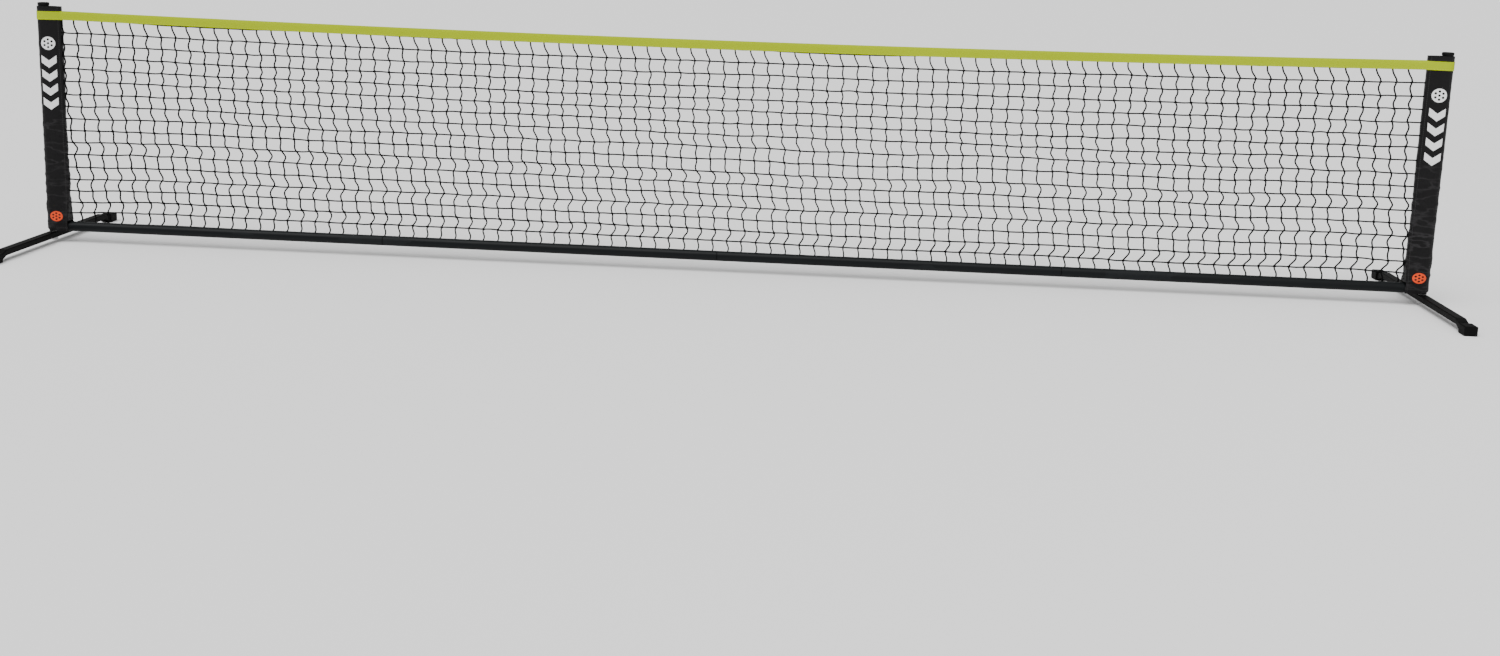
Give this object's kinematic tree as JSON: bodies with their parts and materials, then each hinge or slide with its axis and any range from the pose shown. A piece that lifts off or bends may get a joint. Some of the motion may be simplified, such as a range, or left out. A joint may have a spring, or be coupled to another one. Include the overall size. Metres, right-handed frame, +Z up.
{
  "type": "pickleball portable net",
  "caption": "Low free-standing court net: knotted netting with a lime headband between sleeved posts, on a tube rail with swivelling foot bars.",
  "frame": {"origin": "on the ground, half way between the two posts and half way between the front and rear foot ends", "axes": "+X along the net from the left post to the right post as seen from the front, +Y from front to back, +Z up"},
  "size_m": [3.029, 0.494, 0.536],
  "materials": {
    "black_steel": "satin",
    "dark_steel": "satin",
    "plated_steel": "satin",
    "black_plastic": "matte",
    "black_rubber": "matte",
    "nylon": "satin",
    "sleeve_cloth": "matte",
    "lime_tape": "matte",
    "black_twine": "matte",
    "black_cord": "matte"
  },
  "bodies": {
    "rail_left": {"rail_section_1": "black_steel", "rail_section_2": "black_steel", "rail_ferrule_1": "dark_steel", "rail_ferrule_2": "dark_steel", "corner_elbow_left": "black_steel", "pivot_bolt_left": "plated_steel", "pivot_washer_left": "nylon", "pivot_nut_left": "plated_steel"},
    "rail_right": {"rail_section_3": "black_steel", "rail_section_4": "black_steel", "rail_ferrule_3": "dark_steel", "corner_elbow_right": "black_steel", "pivot_bolt_right": "plated_steel", "pivot_washer_right": "nylon", "pivot_nut_right": "plated_steel"},
    "post_left": {"upright_left": "black_steel", "post_cap_left": "black_plastic"},
    "post_right": {"upright_right": "black_steel", "post_cap_right": "black_plastic"},
    "foot_left": {"foot_bar_left": "black_steel", "front_boot_left": "black_rubber", "rear_boot_left": "black_rubber"},
    "foot_right": {"foot_bar_right": "black_steel", "front_boot_right": "black_rubber", "rear_boot_right": "black_rubber"},
    "net_left": {"sleeve_left": "sleeve_cloth", "band_end_left": "lime_tape", "headband": "lime_tape", "netting": "black_twine", "top_cord": "black_cord", "bottom_cord": "black_cord"},
    "net_right": {"sleeve_right": "sleeve_cloth", "band_end_right": "lime_tape"}
  },
  "joints": [
    {"name": "rail_pull", "type": "slide", "parent": "rail_left", "child": "rail_right", "axis": [1, 0, 0], "range_m": [0, 0.045]},
    {"name": "net_lift", "type": "slide", "parent": "rail_left", "child": "net_left", "axis": [0, 0, 1], "range_m": [0, 0.52]},
    {"name": "net_stretch", "type": "slide", "parent": "net_left", "child": "net_right", "axis": [1, 0, 0], "range_m": [0, 0.045]},
    {"name": "upright_left_lift", "type": "slide", "parent": "rail_left", "child": "post_left", "axis": [0, 0, 1], "range_m": [0, 0.06]},
    {"name": "upright_right_lift", "type": "slide", "parent": "rail_right", "child": "post_right", "axis": [0, 0, 1], "range_m": [0, 0.06]},
    {"name": "foot_left_swivel", "type": "hinge", "parent": "rail_left", "child": "foot_left", "pos_m": [-1.5, 0, 0.0175], "axis": [0, 0, 1], "range_deg": [0, 90]},
    {"name": "foot_right_swivel", "type": "hinge", "parent": "rail_right", "child": "foot_right", "pos_m": [1.5, 0, 0.0175], "axis": [0, 0, -1], "range_deg": [0, 90]}
  ],
  "couplings": [
    {"joint": "net_stretch", "follows": "rail_pull", "ratio": 1}
  ]
}
